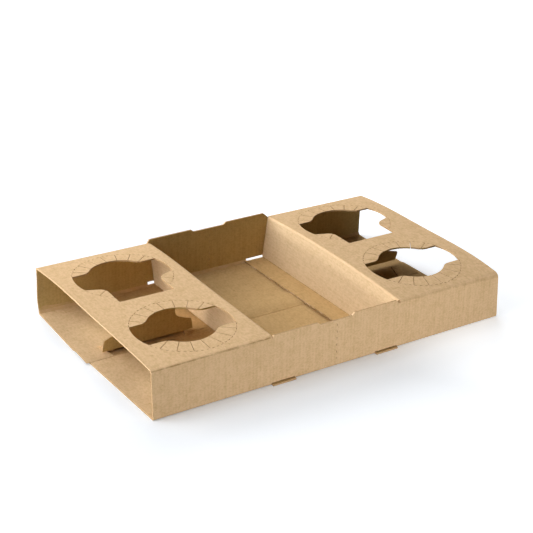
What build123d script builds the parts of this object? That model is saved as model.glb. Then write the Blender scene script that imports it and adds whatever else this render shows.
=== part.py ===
"""Cardboard carrier for four cups, folded from one blank of thin corrugated board.

The blank is wrapped round the X axis as a flat sleeve: front wall, top panel, back wall
and a floor of two glued layers. Over the middle, the top panel is cut in two doors that
fold down and leave an open well. Each end of the sleeve holds two cup holes, with petals
that bend round a cup, and a divider that hangs from the edge of the back hole.

Everything is laid out from the front left corner of the base, X to the right along the
long side, Y to the back and Z up. At the end the carrier is moved so that its origin is
the middle of its base. The right end is made like the left one and mirrored.
"""
from build123d import *
import math
import os
from typing import NamedTuple


class Crown(NamedTuple):
    """Heights of a bent top panel over the base, along one line across the carrier."""

    front: float
    front_cup: float
    middle: float
    back_cup: float
    back: float


class End(NamedTuple):
    """What sets one end of the carrier apart from the other."""

    outer: Crown
    door: Crown
    front_fold: float
    bulge: float
    slant: float
    flange: float
    rise: float
    swing: float
    flap: float


# Board and outside sizes, in mm
BOARD = 1.5
LENGTH = 358.0
DEPTH = 210.0
HEIGHT = 45.0
SECTION = 114.0

# Folds between the panels, as outside radii
BASE_FOLD = 2.0
TOP_FOLD = 2.3
SOFT_FOLD = 5.0
DOOR_FOLD = 2.2

# The front wall stands out a little at its foot
FRONT_SPLAY = 1.2

# The back wall bulges out most in its upper part
BULGE_HEIGHT = 24.0
BULGE_START = 9.0
BULGE_START_PART = 0.75

# Cup holes: a ring of petals round a narrower opening with two wings
CUP_INSET = 58.5
CUP_OFFSET = 52.5
RING_RADIUS = 44.5
NECK_RADIUS = 30.0
NECK_RISE = 1.5
WING_HALF = 17.0
WING_CURVE = 11.0
SLIT = 0.5
SLIT_STEP = 18.0
SLIT_START = 36.0
SLIT_COUNT = 7

# Divider flaps, cut from the back holes; the near edges of their wings slant
HINGE_HALF = 26.5
HINGE_CURVE = 8.0
WING_TIP = 12.0
WING_SLANT = 20.0

# Doors of the well: each leans inwards and ends in a flange on the floor
DOOR_LEAN = 5.5
FLANGE_SINK = 1.3

# The two ends: soft card, so each is bent in its own way
LEFT_END = End(
    outer=Crown(front=45.3, front_cup=47.0, middle=47.4, back_cup=48.3, back=45.8),
    door=Crown(front=45.6, front_cup=46.1, middle=46.4, back_cup=47.3, back=46.0),
    front_fold=TOP_FOLD,
    bulge=2.2,
    slant=1.0,
    flange=18.5,
    rise=0.0,
    swing=0.0,
    flap=42.7,
)
RIGHT_END = End(
    outer=Crown(front=44.9, front_cup=48.4, middle=47.8, back_cup=47.5, back=44.2),
    door=Crown(front=45.0, front_cup=47.6, middle=48.4, back_cup=47.6, back=45.3),
    front_fold=SOFT_FOLD,
    bulge=0.0,
    slant=-2.3,
    flange=20.5,
    rise=2.5,
    swing=25.0,
    flap=44.0,
)

# Edges of the front and back walls along the well
FRONT_LIP = 1.1
BACK_LIP = 4.2
RELIEF_WIDTH = 1.6
RELIEF_DEPTH = 2.0
FRONT_LIP_LEFT_RUN = 1.4
FRONT_LIP_RIGHT_RUN = 2.8
BACK_LIP_LEFT_RUN = 2.5
BACK_LIP_LEFT_START = 3.5
BACK_LIP_RIGHT_RUN = 4.7
GRIP_CENTRE = 177.3
GRIP_HALF = 16.3
GRIP_DEPTH = 2.4
GRIP_SLOPE = 2.8

# Tear line across the middle of the front and back walls
TEAR_X = 178.5
TEAR_FIRST = 1.3
TEAR_PITCH = 6.3
TEAR_CUT = 2.0
TEAR_COUNT = 7

# Slots along the base folds, next to each door; at the front a lip of the floor sticks out
SLOT_LENGTH = 23.0
SLOT_HEIGHT = 2.2
SLOT_LIP = 2.3
LEFT_SLOT_SHIFT = -0.8
RIGHT_SLOT_SHIFT = -0.3
BACK_SLOT_SHIFT = 3.0
BACK_SLOT_LENGTH = 20.5
LEFT_BACK_SLOT_HEIGHT = 5.9
LEFT_BACK_SLOT_DEPTH = 2.0
RIGHT_BACK_SLOT_HEIGHT = 4.7
RIGHT_BACK_SLOT_DEPTH = 4.0

# Bead inside the base fold of the back wall
BEAD_RUN = 1.9
BEAD_RISE = 2.5

# Floor of two glued layers, each slightly out of square; the upper one's edge is crushed
LAP_FRONT = 105.0
LAP_EDGE = 0.25
LAP_CRUSH = 6.0
LAP_BACK = 127.5
LAP_RAMP = 7.0
FRONT_SKEW_LEFT = 2.4
FRONT_SKEW_RIGHT = 3.6
BACK_SKEW = 4.4

# Tongues in the upper layer of the floor, under the dividers. The left one is bent up
# behind its divider and leaves a pocket in front; its left side is crushed down
TONGUE_CENTRE = 60.0
TONGUE_HINGE = 126.0
TONGUE_HINGE_HALF = 41.8
TONGUE_TIP_HALF = 35.1
TONGUE_SLIT_HINGE = 0.8
TONGUE_SLIT_TIP = 2.5
TONGUE_FRONT = 113.6
TONGUE_BEND = 115.1
TONGUE_BEND_HEIGHT = 7.6
TONGUE_TOP = 12.0
TONGUE_CRUSHED = 26.0

# Worked out from the sizes above
FRONT_CUP = DEPTH / 2 - CUP_OFFSET
BACK_CUP = DEPTH / 2 + CUP_OFFSET
HINGE = BACK_CUP - RING_RADIUS
WALL_START = BASE_FOLD + 2.0
DOOR_SPLIT = HEIGHT / 2
WRAP_END = SECTION - RELIEF_WIDTH
STRIP_START = SECTION - DOOR_FOLD - 0.8
LAP_TOP = 2 * BOARD
MARGIN = 2.0
END_ROOM = 4.0


def side_plane(x):
    """The plane across the sleeve at x, with Y to its right and Z up."""
    return Plane(origin=(x, 0, 0), x_dir=(0, 1, 0), z_dir=(1, 0, 0))


def front_plane(y):
    """The plane along the sleeve at y, with X to its right and Z up."""
    return Plane(origin=(0, y, 0), x_dir=(1, 0, 0), z_dir=(0, -1, 0))


def block(x0, x1, y0, y1, z0, z1):
    """A box between two corners."""
    box = Box(x1 - x0, y1 - y0, z1 - z0, align=(Align.MIN, Align.MIN, Align.MIN))
    return Pos(x0, y0, z0) * box


def polygon(*points):
    """A flat face with straight sides through the points."""
    return make_face(Polyline(*points, close=True))


def corners_near(face, *points):
    """The corners of a flat face that lie nearest to the given points."""
    return [face.vertices().sort_by_distance(Vector(*point))[0] for point in points]


def along_x(face, x0, x1):
    """A section drawn as (Y, Z), drawn out from x0 to x1."""
    return extrude(side_plane(x0) * face, amount=x1 - x0)


def along_y(face, y0, y1):
    """A profile drawn as (X, Z), drawn out from y0 to y1."""
    return extrude(front_plane(y1) * face, amount=y1 - y0)


def along_z(face, z0, z1):
    """A plan drawn as (X, Y), drawn out from z0 to z1."""
    return extrude(Plane.XY.offset(z0) * face, amount=z1 - z0)


def front_y(z):
    """Where the outside of the splayed front wall is at height z."""
    return -FRONT_SPLAY * (HEIGHT - z) / HEIGHT


def crown_line(crown, start, end, inset):
    """The curve of a bent top panel, drawn in by inset."""
    return Spline(
        (start, crown.front - inset),
        (FRONT_CUP, crown.front_cup - inset),
        (DEPTH / 2, crown.middle - inset),
        (BACK_CUP, crown.back_cup - inset),
        (end, crown.back - inset),
    )


def wall_line(wall, bulge, high):
    """The back wall in section, from its top down; straight when it has no bulge."""
    return Spline(
        (wall + bulge, high),
        (wall + bulge, BULGE_HEIGHT),
        (wall + BULGE_START_PART * bulge, BULGE_START),
        (wall, WALL_START),
    )


def arched_outline(crown, front_fold, bulge, curved, inset):
    """The walls and bent top in section, above the base folds."""
    front, back = inset, DEPTH - inset
    front_round = front_fold - inset
    back_round = TOP_FOLD - inset
    front_top = crown.front - inset
    back_top = crown.back - inset
    outside = back + bulge
    bit = 1 - math.sqrt(0.5)
    shoulder = front_top - front_round
    wall = Line((outside, back_top - back_round), (back, WALL_START))
    if curved:
        wall = wall_line(back, bulge, back_top - back_round)
    sides = [
        Line((back, WALL_START), (front + front_y(WALL_START), WALL_START)),
        Line((front + front_y(WALL_START), WALL_START), (front + front_y(shoulder), shoulder)),
        ThreePointArc(
            (front + front_y(shoulder), shoulder),
            (front + bit * front_round, front_top - bit * front_round),
            (front + front_round, front_top),
        ),
        crown_line(crown, front + front_round, outside - back_round, inset),
        ThreePointArc(
            (outside - back_round, back_top),
            (outside - bit * back_round, back_top - bit * back_round),
            (outside, back_top - back_round),
        ),
        wall,
    ]
    return make_face(Curve() + sides)


def arched_body(end, inset):
    """The space under a bent top panel, up to the fold of the door."""
    curved = end.bulge > 0
    at_end = arched_outline(end.outer, end.front_fold, end.bulge, curved, inset)
    at_door = arched_outline(end.door, TOP_FOLD, 0, curved, inset)
    outlines = [(side_plane(0) * at_end).face(), (side_plane(STRIP_START) * at_door).face()]
    body = loft(outlines, ruled=True)
    past_end = along_x(at_end, -END_ROOM, 0)
    rest = along_x(arched_outline(end.door, TOP_FOLD, 0, False, inset), STRIP_START, WRAP_END)
    return past_end + body + rest


def end_face(slant):
    """Everything inside the open end, whose front wall slants from the top to the base."""
    front_part = polygon(
        (slant, -MARGIN),
        (slant, WALL_START),
        (0, HEIGHT),
        (0, 2 * HEIGHT),
        (SECTION, 2 * HEIGHT),
        (SECTION, -MARGIN),
    )
    front_part = along_y(front_part, -END_ROOM, SOFT_FOLD)
    return front_part + block(0, SECTION, SOFT_FOLD, DEPTH + END_ROOM, -MARGIN, 2 * HEIGHT)


def door_x(z):
    """Where the outside of a leaning door is at height z."""
    return SECTION + DOOR_LEAN * (HEIGHT - z) / HEIGHT


def door_side(crown, inset):
    """The space behind the upper half of a door, with its fold to the top panel."""
    low = DOOR_SPLIT - inset
    front, back = TOP_FOLD, DEPTH - TOP_FOLD
    sides = [
        Line((back, crown.back - inset), (back, low)),
        Line((back, low), (front, low)),
        Line((front, low), (front, crown.front - inset)),
        crown_line(crown, front, back, inset),
    ]
    body = along_x(make_face(Curve() + sides), STRIP_START - inset, SECTION + DOOR_LEAN)
    above = 2 * HEIGHT
    well = polygon(
        (door_x(above) - inset, above),
        (door_x(0) - inset, 0),
        (SECTION + HEIGHT, 0),
        (SECTION + HEIGHT, above),
    )
    body -= along_y(well, -MARGIN, DEPTH + MARGIN)
    top = crown.middle - inset
    fold = body.edges().sort_by_distance(Vector(door_x(top) - inset, DEPTH / 2, top))[0]
    return fillet(fold, DOOR_FOLD - inset)


def door_foot(flange, rise, low):
    """The lower half of a door with its flange from low up, as a flat profile (X, Z)."""
    high = low + BOARD
    tip = door_x(high) + flange
    face = polygon(
        (door_x(DOOR_SPLIT), DOOR_SPLIT),
        (door_x(high), high),
        (tip, high + rise),
        (tip, low + rise),
        (door_x(low) - BOARD, low),
        (door_x(DOOR_SPLIT) - BOARD, DOOR_SPLIT),
    )
    face = fillet(corners_near(face, (door_x(low) - BOARD, low)), DOOR_FOLD)
    return fillet(corners_near(face, (door_x(high), high)), DOOR_FOLD - BOARD)


def door(end):
    """A door from its top fold to the edge of its flange, clear of both walls."""
    front, back = TOP_FOLD, DEPTH - TOP_FOLD
    upper = door_side(end.door, 0) - door_side(end.door, BOARD)
    upper &= block(STRIP_START, SECTION + HEIGHT, front, back, DOOR_SPLIT, 2 * HEIGHT)
    at_front = front_plane(front) * door_foot(end.flange, end.rise, LAP_TOP)
    at_back = front_plane(back) * door_foot(end.flange, 0, LAP_TOP - FLANGE_SINK)
    lower = loft([at_front.face(), at_back.face()], ruled=True)
    return upper + lower


def wing_band():
    """The band of a hinged hole's wings: level above, slanted below."""
    slope = math.tan(math.radians(WING_SLANT))
    corner = math.sqrt(RING_RADIUS ** 2 - WING_TIP ** 2)
    outer = RING_RADIUS + MARGIN
    low_outer = -WING_TIP + (outer - corner) * slope
    low_inner = -WING_TIP - corner * slope
    return polygon(
        (-outer, WING_HALF),
        (outer, WING_HALF),
        (outer, low_outer),
        (0, low_inner),
        (-outer, low_outer),
    )


def cup_hole(hinged):
    """The outline of a cup hole round its centre; a hinged one reaches to its flap."""
    ring = Circle(RING_RADIUS)
    neck = Pos(0, NECK_RISE) * Circle(NECK_RADIUS)
    above = math.sqrt(NECK_RADIUS ** 2 - (WING_HALF - NECK_RISE) ** 2)
    below = math.sqrt(NECK_RADIUS ** 2 - (WING_HALF + NECK_RISE) ** 2)
    upper = (-above, WING_HALF), (above, WING_HALF)
    lower = (-below, -WING_HALF), (below, -WING_HALF)
    if not hinged:
        hole = (ring & Rectangle(2 * RING_RADIUS, 2 * WING_HALF)) + neck
        return fillet(corners_near(hole, *upper, *lower), WING_CURVE)
    slope = math.tan(math.radians(WING_SLANT))
    corner = math.sqrt(RING_RADIUS ** 2 - WING_TIP ** 2)
    bend = -WING_TIP - (corner - HINGE_HALF) * slope
    far_half = Pos(0, RING_RADIUS) * Rectangle(2 * RING_RADIUS, 2 * RING_RADIUS)
    near_half = Pos(0, -RING_RADIUS / 2) * Rectangle(2 * HINGE_HALF, RING_RADIUS)
    hole = (ring & wing_band()) + (neck & far_half) + near_half
    hole = fillet(corners_near(hole, (-HINGE_HALF, bend), (HINGE_HALF, bend)), HINGE_CURVE)
    return fillet(corners_near(hole, *upper), WING_CURVE)


def petal_slits(angles):
    """Short cuts from the opening out to the ring, at the given angles."""
    span = RING_RADIUS - NECK_RADIUS + 2 * MARGIN
    middle = RING_RADIUS - span / 2
    slits = [Rot(0, 0, angle) * Pos(middle, 0) * Rectangle(span, SLIT) for angle in angles]
    return Sketch() + slits


def flap_outline(length):
    """A divider flap as (X, Z): the near half of the hinged hole, hanging from Z = 0."""
    near_half = Pos(0, -RING_RADIUS / 2) * Rectangle(2 * RING_RADIUS, RING_RADIUS)
    cut_out = Pos(0, RING_RADIUS) * (cup_hole(True) & near_half)
    hung = mirror(cut_out, about=Plane.XZ)
    root = Rectangle(2 * HINGE_HALF, 2 * MARGIN)
    span = Pos(0, (MARGIN - length) / 2) * Rectangle(2 * SECTION, length + MARGIN)
    return (hung + root) & span


def divider(end):
    """A divider flap that hangs from the edge of the back hole."""
    flap = extrude(front_plane(0) * flap_outline(end.flap), amount=BOARD)
    hinge_height = (end.outer.middle + end.door.middle) / 2
    return Pos(CUP_INSET, HINGE, hinge_height) * Rot(end.swing, 0, 0) * flap


def cup_section(end):
    """One end of the carrier above the floor, with its door, holes and divider."""
    outside = arched_body(end, 0)
    sleeve = outside - arched_body(end, BOARD)
    front, back = TOP_FOLD, DEPTH - TOP_FOLD
    sleeve -= block(STRIP_START, SECTION, front, back, DOOR_SPLIT, 2 * HEIGHT)
    angles = [SLIT_START + i * SLIT_STEP for i in range(SLIT_COUNT)]
    below = [-angle for angle in angles]
    front_cut = cup_hole(False) + petal_slits(angles + below)
    back_cut = cup_hole(True) + petal_slits(angles + [below[0], below[-1]])
    under = HEIGHT - 2 * MARGIN
    sleeve -= Pos(CUP_INSET, FRONT_CUP) * along_z(front_cut, under, 2 * HEIGHT)
    sleeve -= Pos(CUP_INSET, BACK_CUP) * along_z(back_cut, under, 2 * HEIGHT)
    sleeve &= end_face(end.slant)
    headroom = outside + block(0, SECTION, 0, DEPTH, 0, WALL_START)
    return sleeve + (divider(end) & headroom) + door(end)


def front_wall_edge():
    """The front wall over the well (X, Z), with its lip, ends and finger grip."""
    lip = HEIGHT + FRONT_LIP
    notch = HEIGHT - RELIEF_DEPTH
    right = LENGTH - SECTION
    return polygon(
        (WRAP_END, WALL_START),
        (WRAP_END, notch),
        (SECTION - FRONT_LIP_LEFT_RUN, notch),
        (SECTION, lip),
        (GRIP_CENTRE - GRIP_HALF - GRIP_SLOPE, lip),
        (GRIP_CENTRE - GRIP_HALF, lip - GRIP_DEPTH),
        (GRIP_CENTRE + GRIP_HALF, lip - GRIP_DEPTH),
        (GRIP_CENTRE + GRIP_HALF + GRIP_SLOPE, lip),
        (right - FRONT_LIP_RIGHT_RUN, lip),
        (right, notch),
        (LENGTH - WRAP_END, notch),
        (LENGTH - WRAP_END, WALL_START),
    )


def back_wall_edge():
    """The back wall over the well (X, Z), with its higher lip, ends and finger grip."""
    lip = HEIGHT + BACK_LIP
    left = SECTION - BACK_LIP_LEFT_START
    right = LENGTH - SECTION
    return polygon(
        (left, WALL_START),
        (left, HEIGHT),
        (left + BACK_LIP_LEFT_RUN, lip),
        (GRIP_CENTRE - GRIP_HALF - GRIP_SLOPE, lip),
        (GRIP_CENTRE - GRIP_HALF, lip - GRIP_DEPTH),
        (GRIP_CENTRE + GRIP_HALF, lip - GRIP_DEPTH),
        (GRIP_CENTRE + GRIP_HALF + GRIP_SLOPE, lip),
        (right - BACK_LIP_RIGHT_RUN, lip),
        (right, HEIGHT),
        (LENGTH - WRAP_END, HEIGHT - RELIEF_DEPTH),
        (LENGTH - WRAP_END, WALL_START),
    )


def front_wall():
    """The front wall over the well."""
    high = 2 * HEIGHT
    section = polygon(
        (front_y(WALL_START), WALL_START),
        (front_y(high), high),
        (front_y(high) + BOARD, high),
        (front_y(WALL_START) + BOARD, WALL_START),
    )
    return along_x(section, 0, LENGTH) & along_y(front_wall_edge(), -END_ROOM, END_ROOM)


def front_floor():
    """The lower floor layer with the foot of the front wall."""
    face = polygon(
        (front_y(WALL_START), WALL_START),
        (front_y(0), 0),
        (LAP_BACK, 0),
        (LAP_BACK, BOARD),
        (front_y(BOARD) + BOARD, BOARD),
        (front_y(WALL_START) + BOARD, WALL_START),
    )
    inner = front_y(BOARD) + BOARD, BOARD
    face = fillet(corners_near(face, (front_y(0), 0)), BASE_FOLD)
    face = fillet(corners_near(face, inner), BASE_FOLD - BOARD)
    left, right = LEFT_END.slant, LENGTH - RIGHT_END.slant
    plan = polygon(
        (left, -END_ROOM),
        (left, BASE_FOLD),
        (left - FRONT_SKEW_LEFT, LAP_BACK),
        (left - FRONT_SKEW_LEFT, LAP_BACK + MARGIN),
        (right - FRONT_SKEW_RIGHT, LAP_BACK + MARGIN),
        (right - FRONT_SKEW_RIGHT, LAP_BACK),
        (right, BASE_FOLD),
        (right, -END_ROOM),
    )
    panel = along_x(face, -2 * BACK_SKEW, LENGTH + 2 * BACK_SKEW)
    return panel & along_z(plan, -MARGIN, HEIGHT)


def back_shift(y):
    """How far the upper floor layer is shifted sideways at y."""
    return -BACK_SKEW * (DEPTH - BASE_FOLD - y) / (DEPTH - BASE_FOLD - LAP_FRONT)


def back_floor():
    """The upper floor layer, stepping down to the base, with the lower back wall."""
    face = polygon(
        (DEPTH, BOARD + BEAD_RISE),
        (DEPTH, 0),
        (LAP_BACK + LAP_RAMP, 0),
        (LAP_BACK, BOARD),
        (LAP_FRONT, BOARD),
        (LAP_FRONT, BOARD + LAP_EDGE),
        (LAP_FRONT + LAP_CRUSH, LAP_TOP),
        (LAP_BACK, LAP_TOP),
        (LAP_BACK + LAP_RAMP, BOARD),
        (DEPTH - BOARD - BEAD_RUN, BOARD),
        (DEPTH - BOARD, BOARD + BEAD_RISE),
    )
    face = fillet(corners_near(face, (DEPTH, 0)), BASE_FOLD)
    edge = LAP_FRONT - MARGIN
    plan = polygon(
        (0, DEPTH + MARGIN),
        (0, DEPTH - BASE_FOLD),
        (back_shift(edge), edge),
        (LENGTH + back_shift(edge), edge),
        (LENGTH, DEPTH - BASE_FOLD),
        (LENGTH, DEPTH + MARGIN),
    )
    panel = along_x(face, -2 * BACK_SKEW, LENGTH + 2 * BACK_SKEW)
    return panel & along_z(plan, -MARGIN, HEIGHT)


def tongue_side(centre, side, offset_hinge, offset_tip):
    """Two plan points on one side of a tongue: at its hinge and past its free edge."""
    past = LAP_FRONT - MARGIN
    grow = (TONGUE_HINGE - past) / (TONGUE_HINGE - LAP_FRONT)
    tip_half = TONGUE_HINGE_HALF - (TONGUE_HINGE_HALF - TONGUE_TIP_HALF) * grow
    hinge_x = centre + side * (TONGUE_HINGE_HALF + offset_hinge) + back_shift(TONGUE_HINGE)
    tip_x = centre + side * (tip_half + offset_tip) + back_shift(past)
    return (hinge_x, TONGUE_HINGE), (tip_x, past)


def tongue_slit(centre, side):
    """The wedge cut out of the upper floor layer along one side of a tongue."""
    inner = tongue_side(centre, side, -TONGUE_SLIT_HINGE / 2, -TONGUE_SLIT_TIP / 2)
    outer = tongue_side(centre, side, TONGUE_SLIT_HINGE / 2, TONGUE_SLIT_TIP / 2)
    plan = polygon(inner[0], inner[1], outer[1], outer[0])
    return along_z(plan, BOARD, HEIGHT / 4)


def tongue_plan(centre):
    """The plan of a tongue between its two slits."""
    left = tongue_side(centre, -1, -TONGUE_SLIT_HINGE / 2, -TONGUE_SLIT_TIP / 2)
    right = tongue_side(centre, 1, -TONGUE_SLIT_HINGE / 2, -TONGUE_SLIT_TIP / 2)
    return polygon(left[0], left[1], right[1], right[0])


def raised_tongue(centre):
    """A tongue that leans up from its hinge and stands against the back of the divider."""
    slope = (TONGUE_BEND_HEIGHT - LAP_TOP) / (TONGUE_HINGE - TONGUE_BEND)
    under = LAP_TOP - BOARD * math.hypot(1, slope)
    section = polygon(
        (TONGUE_HINGE, BOARD),
        (TONGUE_HINGE, LAP_TOP),
        (TONGUE_BEND, TONGUE_BEND_HEIGHT),
        (TONGUE_BEND, TONGUE_TOP),
        (TONGUE_FRONT, TONGUE_TOP),
        (TONGUE_FRONT, BOARD),
    )
    room = polygon(
        (TONGUE_HINGE - (BOARD - under) / slope, BOARD),
        (TONGUE_FRONT - MARGIN, under + slope * (TONGUE_HINGE - TONGUE_FRONT + MARGIN)),
        (TONGUE_FRONT - MARGIN, BOARD),
    )
    board = along_x(section, -MARGIN, SECTION) - along_x(room, TONGUE_CRUSHED, SECTION)
    return board & along_z(tongue_plan(centre), 0, HEIGHT)


def tongue_pocket(centre):
    """What a tongue leaves open in the upper floor layer when it is bent up."""
    return along_z(tongue_plan(centre), BOARD, HEIGHT / 4)


def tear_line():
    """The row of short cuts across the front and back walls."""
    cuts = []
    for i in range(TEAR_COUNT):
        middle = TEAR_FIRST + i * TEAR_PITCH
        low, high = middle - TEAR_CUT / 2, middle + TEAR_CUT / 2
        x0, x1 = TEAR_X - SLIT / 2, TEAR_X + SLIT / 2
        cuts.append(block(x0, x1, -END_ROOM, BOARD, low, high))
        cuts.append(block(x0, x1, DEPTH - BOARD, DEPTH + MARGIN, low, high))
    return cuts


def front_slots():
    """Start and end along X of the two slots in the front base fold."""
    left = SECTION + LEFT_SLOT_SHIFT
    right = LENGTH - SECTION + RIGHT_SLOT_SHIFT
    return (left, left + SLOT_LENGTH), (right - SLOT_LENGTH, right)


def slot_lips():
    """The lips of the floor that stick out under the front slots."""
    edge = front_y(0) - SLOT_LIP
    lips = [block(x0, x1, edge, BASE_FOLD, 0, BOARD) for x0, x1 in front_slots()]
    return lips[0] + lips[1]


def base_slots():
    """The slots along the base folds beside the doors."""
    cuts = []
    for x0, x1 in front_slots():
        cuts.append(block(x0, x1, -END_ROOM, BASE_FOLD, BOARD, SLOT_HEIGHT))
    left_end = SECTION - BACK_SLOT_SHIFT
    right_end = LENGTH - SECTION - BACK_SLOT_SHIFT
    back_left = left_end, left_end + BACK_SLOT_LENGTH
    back_right = right_end - BACK_SLOT_LENGTH, right_end
    left_from = DEPTH - LEFT_BACK_SLOT_DEPTH
    right_from = DEPTH - RIGHT_BACK_SLOT_DEPTH
    past = DEPTH + MARGIN
    cuts.append(block(*back_left, left_from, past, BOARD, LEFT_BACK_SLOT_HEIGHT))
    cuts.append(block(*back_right, right_from, past, BOARD, RIGHT_BACK_SLOT_HEIGHT))
    return cuts


def carrier():
    """The whole carrier, standing on its front left corner."""
    left = cup_section(LEFT_END)
    right = Pos(LENGTH, 0, 0) * mirror(cup_section(RIGHT_END), about=Plane.YZ)
    walls = front_wall() + along_y(back_wall_edge(), DEPTH - BOARD, DEPTH)
    upper_floor = back_floor()
    upper_floor -= tongue_pocket(TONGUE_CENTRE)
    upper_floor -= tongue_slit(TONGUE_CENTRE, 1)
    upper_floor -= tongue_slit(LENGTH - TONGUE_CENTRE, -1)
    upper_floor -= tongue_slit(LENGTH - TONGUE_CENTRE, 1)
    body = front_floor() + upper_floor + raised_tongue(TONGUE_CENTRE)
    body += walls
    body += left
    body += right
    for cut in tear_line() + base_slots():
        body -= cut
    return body + slot_lips()


body = carrier()
bounds = body.bounding_box()
part = Pos(-bounds.center().X, -bounds.center().Y, -bounds.min.Z) * body
os.makedirs("parts", exist_ok=True)
export_step(part, "parts/cup_carrier.step")
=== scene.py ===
import logging
import math
from dataclasses import dataclass, field
from enum import Enum, IntEnum
from typing import Any, Iterable

import bmesh
import bpy
from mathutils import Matrix, Vector
from mathutils.bvhtree import BVHTree


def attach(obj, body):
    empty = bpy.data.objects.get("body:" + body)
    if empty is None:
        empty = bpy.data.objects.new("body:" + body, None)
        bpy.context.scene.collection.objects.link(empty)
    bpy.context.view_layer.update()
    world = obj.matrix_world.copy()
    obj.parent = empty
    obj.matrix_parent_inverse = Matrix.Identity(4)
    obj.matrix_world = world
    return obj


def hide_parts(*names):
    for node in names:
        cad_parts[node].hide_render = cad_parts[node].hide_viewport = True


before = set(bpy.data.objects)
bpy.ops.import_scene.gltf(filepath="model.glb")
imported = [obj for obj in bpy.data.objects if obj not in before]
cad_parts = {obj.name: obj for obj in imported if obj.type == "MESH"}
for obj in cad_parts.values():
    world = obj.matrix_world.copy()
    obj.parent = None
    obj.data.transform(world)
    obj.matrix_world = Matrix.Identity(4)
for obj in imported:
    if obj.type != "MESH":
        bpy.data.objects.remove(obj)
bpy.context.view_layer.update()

MM = 0.001

log = logging.getLogger("cup_carrier")

Socket = bpy.types.NodeSocket
Colour = tuple[float, float, float]
Place = tuple[float, float, float]
Groups = dict[str, bpy.types.NodeTree]

WHITE: Colour = (1.0, 1.0, 1.0)
BOARD_CENTRE: Place = (0.0, 0.0, 0.02)


class Graph:
    """A node tree with short calls that add nodes and join them."""

    def __init__(self, tree: bpy.types.NodeTree) -> None:
        """Keeps the tree and empties it.

        Args:
            tree: the node tree to build in.
        """
        self.tree = tree
        self.tree.nodes.clear()

    def add(
        self, kind: str, inputs: dict[Any, Any] | None = None, **settings: Any
    ) -> bpy.types.Node:
        """Adds one node.

        Args:
            kind: the node's type name.
            inputs: input name or number to a value, or to the socket it comes from.
            **settings: the node's own settings.

        Returns:
            The new node.
        """
        node = self.tree.nodes.new(kind)
        for name, value in settings.items():
            setattr(node, name, value)
        for key, value in (inputs or {}).items():
            self.feed(node.inputs[key], value)
        return node

    def feed(self, socket: Socket, value: Any) -> None:
        """Sets a socket to a value, or joins it to another socket.

        Args:
            socket: the input socket.
            value: a number, a colour, a vector or an output socket.
        """
        if isinstance(value, Socket):
            self.tree.links.new(value, socket)
        else:
            socket.default_value = value

    def math(self, operation: str, *values: Any, clamp: bool = False) -> Socket:
        """Adds a Math node and gives its output.

        Args:
            operation: the Math node's operation.
            *values: its inputs in order.
            clamp: whether the result is kept between 0 and 1.

        Returns:
            The output socket.
        """
        node = self.add("ShaderNodeMath", operation=operation, use_clamp=clamp)
        for socket, value in zip(node.inputs, values):
            self.feed(socket, value)
        return node.outputs[0]

    def swing(self, pattern: Socket, part: float) -> Socket:
        """Gives a pattern of 0 to 1 as a swing from minus the part to plus the part."""
        return self.math("MULTIPLY", self.math("SUBTRACT", pattern, 0.5), part * 2)

    def axes(self, vector: Socket) -> list[Socket]:
        """Gives a vector's X, Y and Z."""
        return list(self.add("ShaderNodeSeparateXYZ", {0: vector}).outputs)

    def noise(
        self, vector: Socket, scale: Any, detail: float = 2.0, roughness: float = 0.5
    ) -> Socket:
        """Adds a Noise Texture node and gives its value.

        Args:
            vector: where the noise is read.
            scale: number or socket.
            detail: the number of finer layers.
            roughness: how strong the finer layers are.

        Returns:
            The socket of the noise, between 0 and 1.
        """
        node = self.add(
            "ShaderNodeTexNoise",
            {"Vector": vector, "Scale": scale, "Detail": detail, "Roughness": roughness},
        )
        return node.outputs[0]

    def ramp(self, value: Socket, start: float, full: float, curve: str = "SMOOTHSTEP") -> Socket:
        """Gives a rise from 0 to 1 between two values.

        Args:
            value: what the rise follows.
            start: the value that gives 0.
            full: the value that gives 1, above or below the start.
            curve: the Map Range node's interpolation.

        Returns:
            The socket of the rise.
        """
        node = self.add(
            "ShaderNodeMapRange",
            {"Value": value, "From Min": start, "From Max": full},
            interpolation_type=curve,
        )
        return node.outputs["Result"]

    def blend(self, factor: Any, first: Any, second: Any) -> Socket:
        """Mixes two colours.

        Args:
            factor: 0 gives the first colour and 1 the second.
            first: colour or socket.
            second: colour or socket.

        Returns:
            The mixed colour's socket.
        """
        node = self.add("ShaderNodeMix", data_type="RGBA")
        colours = [socket for socket in node.inputs if socket.type == "RGBA"]
        self.feed(node.inputs[0], factor)
        self.feed(colours[0], first)
        self.feed(colours[1], second)
        return next(socket for socket in node.outputs if socket.type == "RGBA")


def rgba(colour: Colour) -> tuple[float, float, float, float]:
    """Gives a colour with full alpha."""
    return (*colour, 1.0)


def new_group(
    name: str, inputs: dict[str, tuple[str, float]], outputs: Iterable[str]
) -> tuple[bpy.types.NodeTree, Graph, bpy.types.Node, bpy.types.Node]:
    """Starts a shader node group with named sockets.

    Args:
        name: the group's name.
        inputs: socket name to its socket type and default value.
        outputs: names of the float outputs.

    Returns:
        The group, its graph, its input node and its output node.
    """
    group = bpy.data.node_groups.new(name, "ShaderNodeTree")
    for label, (kind, value) in inputs.items():
        socket = group.interface.new_socket(name=label, in_out="INPUT", socket_type=kind)
        if kind == "NodeSocketFloat":
            socket.default_value = value
    for label in outputs:
        group.interface.new_socket(name=label, in_out="OUTPUT", socket_type="NodeSocketFloat")
    graph = Graph(group)
    return group, graph, graph.add("NodeGroupInput"), graph.add("NodeGroupOutput")


def new_material(name: str) -> tuple[bpy.types.Material, Graph]:
    """Starts a material with an empty node tree.

    Args:
        name: the material's name.

    Returns:
        The material and its graph.
    """
    made = bpy.data.materials.new(name)
    made.use_nodes = True
    return made, Graph(made.node_tree)


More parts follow.
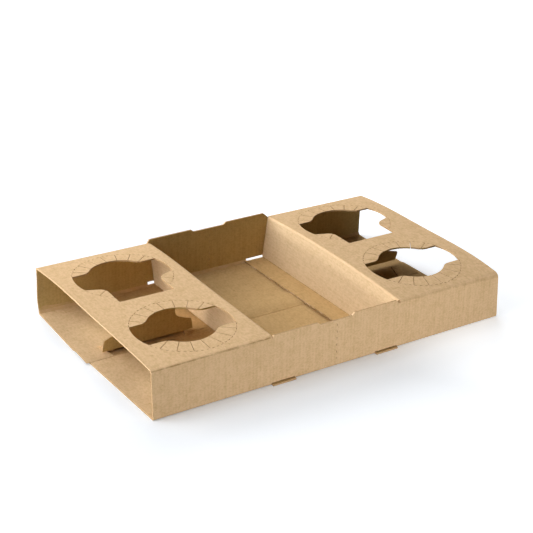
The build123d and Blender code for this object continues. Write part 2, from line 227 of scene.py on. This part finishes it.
@dataclass(frozen=True)
class PaperFibre:
    """The look of kraft paper close up, as a node group: cloudy formation, fibres and flecks."""

    name: str = "paper_fibre"
    cloud_scale: float = 140.0
    fibre_scale: float = 700.0
    fibre_stretch: tuple[float, float, float] = (0.7, 0.45, 1.0)
    fleck_scale_part: float = 0.55
    fleck_start: float = 0.68
    fleck_full: float = 0.76

    def build(self) -> bpy.types.NodeTree:
        """Makes the node group.

        Returns:
            The group, with outputs Cloud, Fibre and Fleck between 0 and 1.
        """
        inputs = {
            "Vector": ("NodeSocketVector", 0.0),
            "Cloud Scale": ("NodeSocketFloat", self.cloud_scale),
            "Fibre Scale": ("NodeSocketFloat", self.fibre_scale),
        }
        group, graph, given, result = new_group(self.name, inputs, ("Cloud", "Fibre", "Fleck"))
        vector, cloud_scale, fibre_scale = (given.outputs[label] for label in inputs)
        stretched = graph.add(
            "ShaderNodeMapping", {"Vector": vector, "Scale": self.fibre_stretch}
        ).outputs["Vector"]
        cloud = graph.noise(vector, cloud_scale, detail=4.0, roughness=0.6)
        fibre = graph.noise(stretched, fibre_scale, detail=3.0, roughness=0.65)
        fleck_scale = graph.math("MULTIPLY", fibre_scale, self.fleck_scale_part)
        fleck = graph.noise(stretched, fleck_scale)
        graph.feed(result.inputs["Cloud"], cloud)
        graph.feed(result.inputs["Fibre"], fibre)
        graph.feed(
            result.inputs["Fleck"], graph.ramp(fleck, self.fleck_start, self.fleck_full, "LINEAR")
        )
        return group


@dataclass(frozen=True)
class FluteLines:
    """The flutes that show faintly through the liners, as a node group.

    They run along the carrier's depth and height, and on the doors along the depth.
    """

    name: str = "flute_lines"
    pitch: float = 3.3 * MM
    door_facing: float = 0.6
    sway_scale: float = 12.0
    sway: float = 0.6 * MM
    strip_stretch: float = 9.0
    strip_scale: float = 1.3
    even_part: float = 0.35
    uneven_part: float = 1.9
    uneven_offset: float = -0.62
    flat_loss: float = 0.55

    def build(self) -> bpy.types.NodeTree:
        """Makes the node group.

        Returns:
            The group, with the output Line between 0 in a valley and 1 on a ridge.
        """
        inputs = {
            "Vector": ("NodeSocketVector", 0.0),
            "Normal": ("NodeSocketVector", 0.0),
            "Pitch": ("NodeSocketFloat", self.pitch),
        }
        group, graph, given, result = new_group(self.name, inputs, ("Line",))
        vector, normal, pitch = (given.outputs[label] for label in inputs)
        length, _, height = graph.axes(vector)
        facing_x, _, facing_z = graph.axes(normal)

        on_door = graph.math("GREATER_THAN", graph.math("ABSOLUTE", facing_x), self.door_facing)
        to_height = graph.math("MULTIPLY", on_door, graph.math("SUBTRACT", height, length))
        across = graph.math("ADD", length, to_height)
        sway = graph.noise(vector, self.sway_scale, detail=1.0)
        across = graph.math("ADD", across, graph.math("MULTIPLY", sway, self.sway))
        count = graph.math("DIVIDE", across, pitch)
        sine = graph.math("SINE", graph.math("MULTIPLY", count, math.tau))
        even = graph.math("MULTIPLY_ADD", sine, 0.5, 0.5)

        drift = graph.add(
            "ShaderNodeVectorMath", {0: vector, 1: (self.strip_stretch,) * 3}, operation="MULTIPLY"
        )
        _, along, rise = graph.axes(drift.outputs[0])
        rise = graph.math("MULTIPLY", rise, graph.math("SUBTRACT", 1.0, on_door))
        strip = graph.add("ShaderNodeCombineXYZ", {0: count, 1: along, 2: rise})
        uneven = graph.noise(strip.outputs[0], self.strip_scale, roughness=0.7)
        uneven = graph.math("MULTIPLY_ADD", uneven, self.uneven_part, self.uneven_offset)
        wave = graph.math("MULTIPLY_ADD", even, self.even_part, uneven, clamp=True)

        flat = graph.math("ABSOLUTE", facing_z)
        level = graph.math("MULTIPLY_ADD", flat, -self.flat_loss, 1.0)
        wave = graph.math("MULTIPLY_ADD", graph.math("SUBTRACT", wave, 0.5), level, 0.5)
        graph.feed(result.inputs["Line"], wave)
        return group


@dataclass(frozen=True)
class KraftFinish:
    """Brown kraft liner, matt, with faint flute lines, and painted light and shade at folds and
    edges.

    The face attribute "fold" turns it to a painted highlight colour above 0 and to a painted shade
    colour below.
    With end colours, painted light makes the open left end of the board paler.
    """

    name: str = "kraft_liner"
    colour: Colour = (0.735, 0.508, 0.290)
    deep: Colour = (0.50, 0.320, 0.140)
    # Painted highlight colour, laid where the fold attribute is above 0.
    highlight_colour: Colour = (0.78, 0.56, 0.34)
    # Painted shade colour, laid where the fold attribute is below 0.
    painted_shade_colour: Colour = (0.36, 0.22, 0.09)
    roughness: float = 0.82
    specular: float = 0.10
    cloud_part: float = 0.40
    fibre_part: float = 0.75
    fleck_part: float = 0.40
    line_part: float = 0.15
    tone_offset: float = 0.20
    patch_gain: float = 3.0
    patch_offset: float = -0.95
    pitch: float = 3.3 * MM
    fibre_relief: float = 0.35
    bump_strength: float = 0.12
    bump_depth: float = 0.12 * MM
    # Painted light: paler colours towards the open left end.
    end_lit_colour: Colour | None = None
    end_lit_deep: Colour | None = None
    end_start: float = -100.0 * MM
    end_full: float = -170.0 * MM

    def material(self, groups: Groups) -> bpy.types.Material:
        """Makes the material.

        Args:
            groups: the shared node groups by name.

        Returns:
            The material.
        """
        made, graph = new_material(self.name)
        spot = graph.add("ShaderNodeTexCoord")
        paper = graph.add("ShaderNodeGroup", node_tree=groups["paper_fibre"])
        graph.feed(paper.inputs["Vector"], spot.outputs["Object"])
        lines = graph.add("ShaderNodeGroup", node_tree=groups["flute_lines"])
        graph.feed(lines.inputs["Vector"], spot.outputs["Object"])
        graph.feed(lines.inputs["Normal"], spot.outputs["Normal"])
        graph.feed(lines.inputs["Pitch"], self.pitch)

        tone = self.tone(graph, paper, lines)
        colour = graph.blend(tone, rgba(self.colour), rgba(self.deep))
        # Painted light at the open left end: blend towards the paler end colours.
        if self.end_lit_colour and self.end_lit_deep:
            length = graph.axes(spot.outputs["Object"])[0]
            near_end = graph.ramp(length, self.end_start, self.end_full)
            paler = graph.blend(tone, rgba(self.end_lit_colour), rgba(self.end_lit_deep))
            colour = graph.blend(near_end, colour, paler)
        colour = self.painted_light_marks(graph, colour, paper.outputs["Cloud"])

        fibre_relief = graph.math("MULTIPLY", paper.outputs["Fibre"], self.fibre_relief)
        height = graph.math("ADD", fibre_relief, lines.outputs["Line"])
        bump = graph.add(
            "ShaderNodeBump",
            {"Strength": self.bump_strength, "Distance": self.bump_depth, "Height": height},
        )
        shader = graph.add("ShaderNodeBsdfPrincipled", {
            "Base Color": colour,
            "Roughness": self.roughness,
            "Specular IOR Level": self.specular,
            "Normal": bump.outputs["Normal"],
        })
        graph.add("ShaderNodeOutputMaterial", {"Surface": shader.outputs[0]})
        return made

    def tone(self, graph: Graph, paper: bpy.types.Node, lines: bpy.types.Node) -> Socket:
        """Gives how deep the paper's tone is, from its clouds, fibres, flute lines and flecks.

        Args:
            graph: the material's graph.
            paper: the paper_fibre node.
            lines: the flute_lines node.

        Returns:
            The socket of the tone, 0 for the plain colour and 1 for the deep one.
        """
        clouds = graph.swing(paper.outputs["Cloud"], self.cloud_part)
        fibres = graph.swing(paper.outputs["Fibre"], self.fibre_part)
        ridges = graph.swing(lines.outputs["Line"], -self.line_part)
        flecks = graph.math("MULTIPLY", paper.outputs["Fleck"], self.fleck_part)
        shade = graph.math("ADD", graph.math("ADD", clouds, fibres), ridges)
        shade = graph.math("ADD", shade, flecks)
        return graph.math("ADD", shade, self.tone_offset, clamp=True)

    def painted_light_marks(self, graph: Graph, colour: Socket, cloud: Socket) -> Socket:
        """Lays painted highlights and painted shade over a colour, in patches, by the fold
        attribute.

        Args:
            graph: the material's graph.
            colour: the plain board's colour.
            cloud: the paper's cloudy pattern.

        Returns:
            The socket of the colour with its painted highlights and painted shade.
        """
        # Painted light: the fold attribute lightens faces towards the highlight colour and darkens
        # them towards the shade colour.
        fold = graph.add("ShaderNodeAttribute", attribute_name="fold").outputs["Fac"]
        shade_mark = graph.math("MULTIPLY", fold, -1.0)
        patchy = graph.math("MULTIPLY_ADD", cloud, self.patch_gain, self.patch_offset, clamp=True)
        light = graph.math("MULTIPLY", patchy, graph.math("MAXIMUM", fold, 0.0))
        dark = graph.math("MULTIPLY", patchy, graph.math("MAXIMUM", shade_mark, 0.0))
        colour = graph.blend(light, colour, rgba(self.highlight_colour))
        return graph.blend(dark, colour, rgba(self.painted_shade_colour))


@dataclass(frozen=True)
class CutEdgeFinish:
    """The cut edge of the board: browner, rough and mottled by the fibres."""

    name: str = "cut_edge"
    colour: Colour = (0.60, 0.41, 0.235)
    deep: Colour = (0.42, 0.26, 0.12)
    roughness: float = 0.9
    specular: float = 0.1

    def material(self, groups: Groups) -> bpy.types.Material:
        """Makes the material.

        Args:
            groups: the shared node groups by name.

        Returns:
            The material.
        """
        made, graph = new_material(self.name)
        spot = graph.add("ShaderNodeTexCoord")
        paper = graph.add("ShaderNodeGroup", node_tree=groups["paper_fibre"])
        graph.feed(paper.inputs["Vector"], spot.outputs["Object"])
        colour = graph.blend(paper.outputs["Fibre"], rgba(self.colour), rgba(self.deep))
        shader = graph.add("ShaderNodeBsdfPrincipled", {
            "Base Color": colour,
            "Roughness": self.roughness,
            "Specular IOR Level": self.specular,
        })
        graph.add("ShaderNodeOutputMaterial", {"Surface": shader.outputs[0]})
        return made


class Slot(IntEnum):
    """The board's material slots, in order."""

    OUTER = 0
    CUT_EDGE = 1
    # Painted shade: a darker copy of the board for the floor.
    SHADED_FLOOR = 2
    # Painted shade: a darker copy for the walls' inner faces, the top's underside and the
    # dividers.
    SHADED_INSIDE = 3
    # Painted light: a paler copy for the doors' sides.
    LIT_DOOR = 4


class CupHole(Enum):
    """The two kinds of cup hole, with the arcs of dashes round each, in degrees from +X."""

    OPEN = ((25.0, 155.0), (205.0, 335.0))
    HINGED = ((25.0, 155.0), (199.0, 231.0), (309.0, 341.0))


@dataclass
class Perforation:
    """The dashed line along which the petals of one cup hole bend, in millimetres."""

    centre: tuple[float, float]
    kind: CupHole
    radius: float = 44.6
    dash: float = 2.4
    gap: float = 2.4
    width: float = 0.6
    low: float = 41.0
    high: float = 52.0

    def add_cutters(self, bm: bmesh.types.BMesh) -> int:
        """Adds one thin box for each dash.

        Args:
            bm: the mesh that collects the boxes.

        Returns:
            The number of dashes.
        """
        step = math.degrees((self.dash + self.gap) / self.radius)
        place = Matrix.Translation(Vector((*self.centre, (self.low + self.high) / 2)) * MM)
        outwards = Matrix.Translation((self.radius * MM, 0, 0))
        size = Matrix.Diagonal(
            (self.width * MM, self.dash * MM, (self.high - self.low) * MM, 1.0)
        )
        count = 0
        for start, end in self.kind.value:
            number = int((end - start) / step)
            first = (start + end - number * step) / 2
            for i in range(number + 1):
                turned = Matrix.Rotation(math.radians(first + i * step), 4, "Z")
                matrix = place @ turned @ outwards @ size
                bmesh.ops.create_cube(bm, size=1.0, matrix=matrix)
                count += 1
        return count


@dataclass
class FoldedBlank:
    """The folded board: the solid's own form, welded, shaded smooth and perforated.

    Lengths are in millimetres, X along the sleeve and Y from the front wall to the back wall.
    """

    node: str = "cup_carrier"
    name: str = "folded_board"
    weld: float = 0.002
    crease_angle: float = 26.0
    edge_depth: float = 3.6
    skin: float = 0.01
    floor_top: float = 9.0
    wall_inside: float = 88.0
    fold_low: float = 40.5
    end_inside: float = 165.0
    door_outside: float = 72.0
    door_inside: float = 62.0
    door_depth: float = 102.0
    lap_inside: float = 97.0
    divider_reach: float = 45.0
    pocket: tuple[float, float, float] = (-160.0, -76.0, 9.5)
    right_foot: tuple[float, float] = (60.0, 90.0)
    level_facing: float = 0.5
    side_facing: float = 0.6
    # Values of the fold attribute: 1.0 and 0.4 are painted highlights, the negative ones painted
    # shade.
    stretched: float = 1.0
    shade_mark: float = -1.0
    foot_shade_mark: float = -0.7
    right_shade_mark: float = -0.4
    end_highlight_mark: float = 0.4
    perforations: list[Perforation] = field(default_factory=lambda: [
        Perforation((-119.45, -51.988), CupHole.OPEN),
        Perforation((-119.45, 53.012), CupHole.HINGED),
        Perforation((121.55, -51.988), CupHole.OPEN),
        Perforation((121.55, 53.012), CupHole.HINGED),
    ])

    def build(self, finishes: list[bpy.types.Material]) -> bpy.types.Object:
        """Makes the piece and lets it stand for the solid.

        Args:
            finishes: the materials in the order of the slots.

        Returns:
            The finished piece.
        """
        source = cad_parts[self.node]
        bm = bmesh.new()
        bm.from_mesh(source.data)
        bmesh.ops.remove_doubles(bm, verts=bm.verts, dist=self.weld * MM)
        piece = self.to_object(bm, self.name)
        piece = self.perforate(piece)
        self.dress(piece, finishes)
        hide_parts(self.node)
        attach(piece, "root")
        return piece

    @staticmethod
    def to_object(bm: bmesh.types.BMesh, name: str) -> bpy.types.Object:
        """Turns a mesh in the making into an object.

        Args:
            bm: the mesh in the making, which is freed.
            name: the object's name.

        Returns:
            The new object, linked to the scene.
        """
        mesh = bpy.data.meshes.new(name)
        bm.to_mesh(mesh)
        bm.free()
        made = bpy.data.objects.new(name, mesh)
        bpy.context.scene.collection.objects.link(made)
        return made

    def perforate(self, piece: bpy.types.Object) -> bpy.types.Object:
        """Cuts the dashes through the top panels.

        Args:
            piece: the welded board.

        Returns:
            The same object with its new mesh.
        """
        bm = bmesh.new()
        count = sum(ring.add_cutters(bm) for ring in self.perforations)
        cutter = self.to_object(bm, "dash_cutter")
        cut = piece.modifiers.new("dashes", "BOOLEAN")
        cut.operation = "DIFFERENCE"
        cut.solver = "EXACT"
        cut.object = cutter
        bpy.context.view_layer.update()
        ready = piece.evaluated_get(bpy.context.evaluated_depsgraph_get())
        mesh = bpy.data.meshes.new_from_object(ready)
        piece.modifiers.clear()
        uncut = piece.data
        piece.data = mesh
        bpy.data.meshes.remove(uncut)
        bpy.data.objects.remove(cutter)
        log.info("%s: %d dashes, %d faces", self.name, count, len(mesh.polygons))
        return piece

    def shading_slot(self, face: bmesh.types.BMFace) -> Slot:
        """Tells which finish shows on a face: the outer liner, a darker painted-shade copy or a
        paler painted-light copy.

        Args:
            face: the face, with its normal up to date.

        Returns:
            The slot. The floor has its painted-shade copy, the walls, the top's underside and the
            dividers share another painted-shade copy, and the doors' sides have the painted-light
            copy.
        """
        middle = face.calc_center_median() / MM
        normal = face.normal
        if normal.z > self.level_facing:
            return Slot.SHADED_FLOOR if middle.z < self.floor_top else Slot.OUTER
        raised = middle.z > self.floor_top
        if normal.z < -self.level_facing:
            return Slot.SHADED_INSIDE if raised else Slot.OUTER
        if abs(normal.x) > self.side_facing:
            # Painted light: the doors' sides take the paler copy.
            door = abs(middle.x) < self.door_outside and abs(middle.y) < self.door_depth
            return Slot.LIT_DOOR if door else Slot.OUTER
        wall = abs(middle.y) > self.wall_inside and normal.y * middle.y < 0
        beside_well = abs(middle.x) > self.door_outside
        # Painted shade: the dividers take the darker inside copy.
        divider = abs(middle.y) < self.divider_reach and beside_well and raised
        return Slot.SHADED_INSIDE if wall or divider else Slot.OUTER

    def face_light_mark(self, face: bmesh.types.BMFace) -> float:
        """Gives the face's painted light for the fold attribute: 1 a full painted highlight, -1
        full painted shade, 0 none.

        Args:
            face: the face, with its normal up to date.

        Returns:
            The painted light of the face.
        """
        middle = face.calc_center_median() / MM
        if middle.z < self.floor_top:
            return self.floor_light_mark(middle, face.normal)
        if middle.z < self.fold_low:
            return 0.0
        return self.top_light_mark(middle, face.normal)

    def floor_light_mark(self, middle: Vector, normal: Vector) -> float:
        """Gives the painted light of a face near the floor.

        Args:
            middle: the middle of the face, in millimetres.
            normal: the face's normal.

        Returns:
            A painted highlight on the bead at the back wall's foot and on the lap's edge, and
            painted shade on the flanges' edges in the well, in the pocket at the left divider's
            foot and at the right door's foot.
        """
        # Painted highlight on the bead at the back wall's foot.
        if normal.z > 0.3 and normal.y < -0.3 and middle.y > self.lap_inside:
            return self.stretched
        if abs(middle.x) < self.door_inside and abs(middle.y) < self.lap_inside:
            # Painted highlight that lightens the shaded, front-facing edge of the lap.
            if normal.y < -0.3:
                return self.stretched
            # Painted shade on the flanges' edges in the well, where their shadow falls.
            return self.shade_mark if abs(normal.x) > 0.5 else 0.0
        # Painted shade in the pocket at the left divider's foot.
        left, right, back = self.pocket
        if left < middle.x < right and 0 < middle.y < back:
            return self.shade_mark
        # Painted shade at the right door's foot, in its corner with the flange.
        start, end = self.right_foot
        if 0.3 < -normal.x < 0.85 and normal.z > 0.3 and start < middle.x < end:
            return self.foot_shade_mark
        return 0.0

    def top_light_mark(self, middle: Vector, normal: Vector) -> float:
        """Gives the painted light of a face near the top panel.

        Args:
            middle: the middle of the face, in millimetres.
            normal: the face's normal.

        Returns:
            A painted highlight on the top panel's cut ends and the doors' upper folds, and painted
            shade along the front fold.
        """
        # Painted highlight on the top panel's cut ends.
        if abs(normal.x) > 0.9 and abs(middle.x) > self.end_inside:
            return self.end_highlight_mark
        # Painted highlight along the doors' upper folds.
        if 0.35 < abs(normal.x) < 0.97 and normal.z > 0.2 and abs(middle.x) < self.door_outside:
            return self.stretched
        # Painted shade along the front fold.
        if 0.72 < -normal.y < 0.97 and normal.z > 0.2 and middle.y < 0:
            return self.shade_mark if middle.x < self.door_inside else self.right_shade_mark
        return 0.0

    def dress(self, piece: bpy.types.Object, finishes: list[bpy.types.Material]) -> None:
        """Sets the shading, the fold attribute of painted highlights and painted shade, and the
        materials of the liners and cut edges, with their painted-shade and painted-light copies.

        A face is a cut edge where the board behind it is deeper than its own thickness.

        Args:
            piece: the board.
            finishes: the materials in the order of the slots.
        """
        mesh = piece.data
        mesh.materials.clear()
        for finish in finishes:
            mesh.materials.append(finish)
        bm = bmesh.new()
        bm.from_mesh(mesh)
        bm.normal_update()
        tree = BVHTree.FromBMesh(bm)
        painted_light_marks = bm.faces.layers.float.new("fold")
        for face in bm.faces:
            face.smooth = True
            # The fold attribute carries painted highlights and painted shade.
            face[painted_light_marks] = self.face_light_mark(face)
            start = face.calc_center_median() - face.normal * (self.skin * MM)
            depth = tree.ray_cast(start, -face.normal)[3]
            deep = depth is not None and depth > self.edge_depth * MM
            liner = self.shading_slot(face)
            cut = deep and liner is Slot.OUTER and not face[painted_light_marks]
            face.material_index = Slot.CUT_EDGE if cut else liner
        limit = math.radians(self.crease_angle)
        for joint in bm.edges:
            joint.smooth = len(joint.link_faces) == 2 and joint.calc_face_angle(0.0) < limit
        bm.to_mesh(mesh)
        bm.free()


@dataclass
class SoftBox:
    """A rectangular studio lamp with a soft face, in metres and watts."""

    name: str
    place: Place
    size: tuple[float, float]
    power: float
    aim: Place = BOARD_CENTRE

    def build(self) -> bpy.types.Object:
        """Makes the lamp, pointed at its aim.

        Returns:
            The lamp's object.
        """
        data = bpy.data.lights.new(self.name, "AREA")
        data.shape = "RECTANGLE"
        data.size, data.size_y = self.size
        data.energy = self.power
        lamp = bpy.data.objects.new(self.name, data)
        bpy.context.scene.collection.objects.link(lamp)
        lamp.location = self.place
        way = Vector(self.aim) - Vector(self.place)
        lamp.rotation_euler = way.to_track_quat("-Z", "Y").to_euler()
        lamp.visible_camera = False
        lamp.visible_glossy = False
        return lamp


@dataclass
class Studio:
    """The plain white floor, the white surroundings and the lamps, in metres and watts.

    To the camera the floor glows a little, more to the right and in front of the board, which is
    painted light over the board's shadow there, and most far from it, so that it turns white there
    and keeps the board's shadow.
    """

    half: float = 4.0
    floor_white: Colour = (0.81, 0.85, 0.90)
    floor_bounce: float = 0.28
    floor_glow: float = 0.18
    glow_rise: float = 0.30
    # Painted light over the board's shadow: more glow to the right of the board and in front of
    # it.
    right_rise: tuple[float, float] = (0.03, 0.14)
    front_rise: tuple[float, float] = (-0.12, -0.24)
    front_part: float = 0.6
    far_rise: tuple[float, float] = (0.35, 0.9)
    ambient: float = 0.01
    lamps: list[SoftBox] = field(default_factory=lambda: [
        SoftBox("key_back_left", (-1.1, 0.9, 0.6), (1.0, 0.8), 10.5),
        SoftBox("left_high", (-1.2, 0.1, 1.0), (1.2, 1.2), 12.0),
        SoftBox("left", (-1.5, -0.1, 0.5), (0.8, 0.6), 4.2),
        SoftBox("left_low", (-1.3, 0.15, 0.14), (0.5, 0.08), 5.8, (-0.06, -0.05, 0.02)),
        SoftBox("back_right", (0.5, 1.3, 0.8), (1.4, 1.2), 14.5),
        SoftBox("top", (0.0, 0.3, 1.6), (1.0, 1.0), 7.0),
        SoftBox("front_low_left", (-0.27, -0.55, 0.022), (0.12, 0.035), 0.33, (-0.17, 0.1, 0.022)),
        SoftBox("front_low", (-0.02, -0.62, 0.022), (0.36, 0.035), 0.70, (-0.02, 0, 0.022)),
        SoftBox("front_low_right", (0.14, -0.52, 0.022), (0.2, 0.035), 0.74, (0.18, 0, 0.022)),
    ])

    def build(self) -> None:
        """Makes the floor, the world and the lamps."""
        self.floor()
        self.world()
        for lamp in self.lamps:
            lamp.build()
        log.info("studio: %d lamps", len(self.lamps))

    @staticmethod
    def seen(graph: Graph) -> Socket:
        """Gives 1 for what the camera sees, straight or in gloss or glass.

        Args:
            graph: the tree to add the nodes to.

        Returns:
            The mask's socket.
        """
        path = graph.add("ShaderNodeLightPath")
        mask = graph.math("MAXIMUM", path.outputs["Is Camera Ray"], path.outputs["Is Glossy Ray"])
        return graph.math("MAXIMUM", mask, path.outputs["Is Transmission Ray"])

    def glow_strength(self, graph: Graph) -> Socket:
        """Gives the strength of the floor's glow by the place on the floor, with painted light
        over the board's shadow to its right and in front.

        Args:
            graph: the floor's graph.

        Returns:
            The strength's socket.
        """
        spot = graph.add("ShaderNodeTexCoord").outputs["Object"]
        across, along, _ = graph.axes(spot)
        # Painted light over the board's shadow to its right and in front.
        right = graph.ramp(across, *self.right_rise)
        front = graph.math("MULTIPLY", graph.ramp(along, *self.front_rise), self.front_part)
        both = graph.math("MAXIMUM", right, front)
        near = graph.math("MULTIPLY_ADD", both, self.glow_rise, self.floor_glow)
        distance = graph.add("ShaderNodeVectorMath", {0: spot}, operation="LENGTH")
        far = graph.ramp(distance.outputs["Value"], *self.far_rise)
        return graph.math("ADD", near, far)

    def floor(self) -> bpy.types.Object:
        """Makes the floor with its white material.

        Returns:
            The floor's object.
        """
        bm = bmesh.new()
        bmesh.ops.create_grid(bm, x_segments=1, y_segments=1, size=self.half)
        floor = FoldedBlank.to_object(bm, "floor")
        made, graph = new_material("white_floor")
        plain = graph.add("ShaderNodeBsdfDiffuse", {"Color": rgba(self.floor_white)})
        dull = graph.add("ShaderNodeBsdfDiffuse", {"Color": rgba((self.floor_bounce,) * 3)})
        glow = graph.add(
            "ShaderNodeEmission", {"Color": rgba(WHITE), "Strength": self.glow_strength(graph)}
        )
        shown = graph.add("ShaderNodeAddShader", {0: plain.outputs[0], 1: glow.outputs[0]})
        pick = graph.add(
            "ShaderNodeMixShader", {0: self.seen(graph), 1: dull.outputs[0], 2: shown.outputs[0]}
        )
        graph.add("ShaderNodeOutputMaterial", {"Surface": pick.outputs[0]})
        floor.data.materials.append(made)
        return floor

    def world(self) -> None:
        """Makes the world: white where it is seen, dim where it lights."""
        world = bpy.data.worlds.new("white_surroundings")
        world.use_nodes = True
        graph = Graph(world.node_tree)
        dim = graph.add("ShaderNodeBackground", {"Color": rgba(WHITE), "Strength": self.ambient})
        white = graph.add("ShaderNodeBackground", {"Color": rgba(WHITE), "Strength": 1.0})
        pick = graph.add(
            "ShaderNodeMixShader", {0: self.seen(graph), 1: dim.outputs[0], 2: white.outputs[0]}
        )
        graph.add("ShaderNodeOutputWorld", {"Surface": pick.outputs[0]})
        bpy.context.scene.world = world


@dataclass(frozen=True)
class PhotoCamera:
    """The camera at the photograph's angle; the picture is 533 by 533."""

    place: Place = (-0.63225, -0.93109, 0.5883)
    ahead: Place = (0.50504, 0.74742, -0.43163)
    right: Place = (0.83669, -0.54672, 0.03229)
    lens: float = 94.17
    sensor: float = 36.0

    def build(self) -> bpy.types.Object:
        """Makes the camera and gives it to the scene.

        Returns:
            The camera's object.
        """
        data = bpy.data.cameras.new("photo_camera")
        data.sensor_width = self.sensor
        data.lens = self.lens
        camera = bpy.data.objects.new("photo_camera", data)
        bpy.context.scene.collection.objects.link(camera)
        back = -Vector(self.ahead).normalized()
        right = Vector(self.right).normalized()
        up = back.cross(right).normalized()
        right = up.cross(back)
        turn = Matrix((right, up, back)).transposed().to_4x4()
        camera.matrix_world = Matrix.Translation(self.place) @ turn
        bpy.context.scene.camera = camera
        return camera


def board_finishes() -> dict[Slot, KraftFinish | CutEdgeFinish]:
    """Gives the finish of each of the board's slots.

    Returns:
        The finishes by slot, in the order of the slots.
    """
    # Painted highlight colour for the painted-shade copies.
    inside_highlight_colour: Colour = (0.68, 0.47, 0.25)
    inside_specular = 0.03
    return {
        Slot.OUTER: KraftFinish(),
        Slot.CUT_EDGE: CutEdgeFinish(),
        # Painted shade: a darker copy for the floor.
        Slot.SHADED_FLOOR: KraftFinish(
            "kraft_shaded_floor",
            colour=(0.62, 0.413, 0.195),
            deep=(0.42, 0.258, 0.095),
            highlight_colour=inside_highlight_colour,
            specular=inside_specular,
            # Painted light: paler colours at the open left end of the floor.
            end_lit_colour=(0.735, 0.530, 0.315),
            end_lit_deep=(0.500, 0.333, 0.155),
        ),
        # Painted shade: a darker copy for the walls, the top's underside and the dividers.
        Slot.SHADED_INSIDE: KraftFinish(
            "kraft_shaded_inside",
            colour=(0.615, 0.442, 0.190),
            deep=(0.415, 0.275, 0.095),
            highlight_colour=inside_highlight_colour,
            specular=inside_specular,
        ),
        # Painted light: a paler, less red copy for the doors' sides.
        Slot.LIT_DOOR: KraftFinish(
            "kraft_lit_door", colour=(0.69, 0.512, 0.318), deep=(0.49, 0.340, 0.175)
        ),
    }


def main() -> None:
    """Builds the scene: camera, studio and the folded board."""
    logging.basicConfig(level=logging.INFO, format="%(name)s %(message)s")
    bpy.context.scene.view_settings.view_transform = "Standard"
    PhotoCamera().build()
    Studio().build()
    groups = {"paper_fibre": PaperFibre().build(), "flute_lines": FluteLines().build()}
    finishes = [finish.material(groups) for finish in board_finishes().values()]
    board = FoldedBlank().build(finishes)
    log.info("%s: done", board.name)


if __name__ == "__main__":
    main()
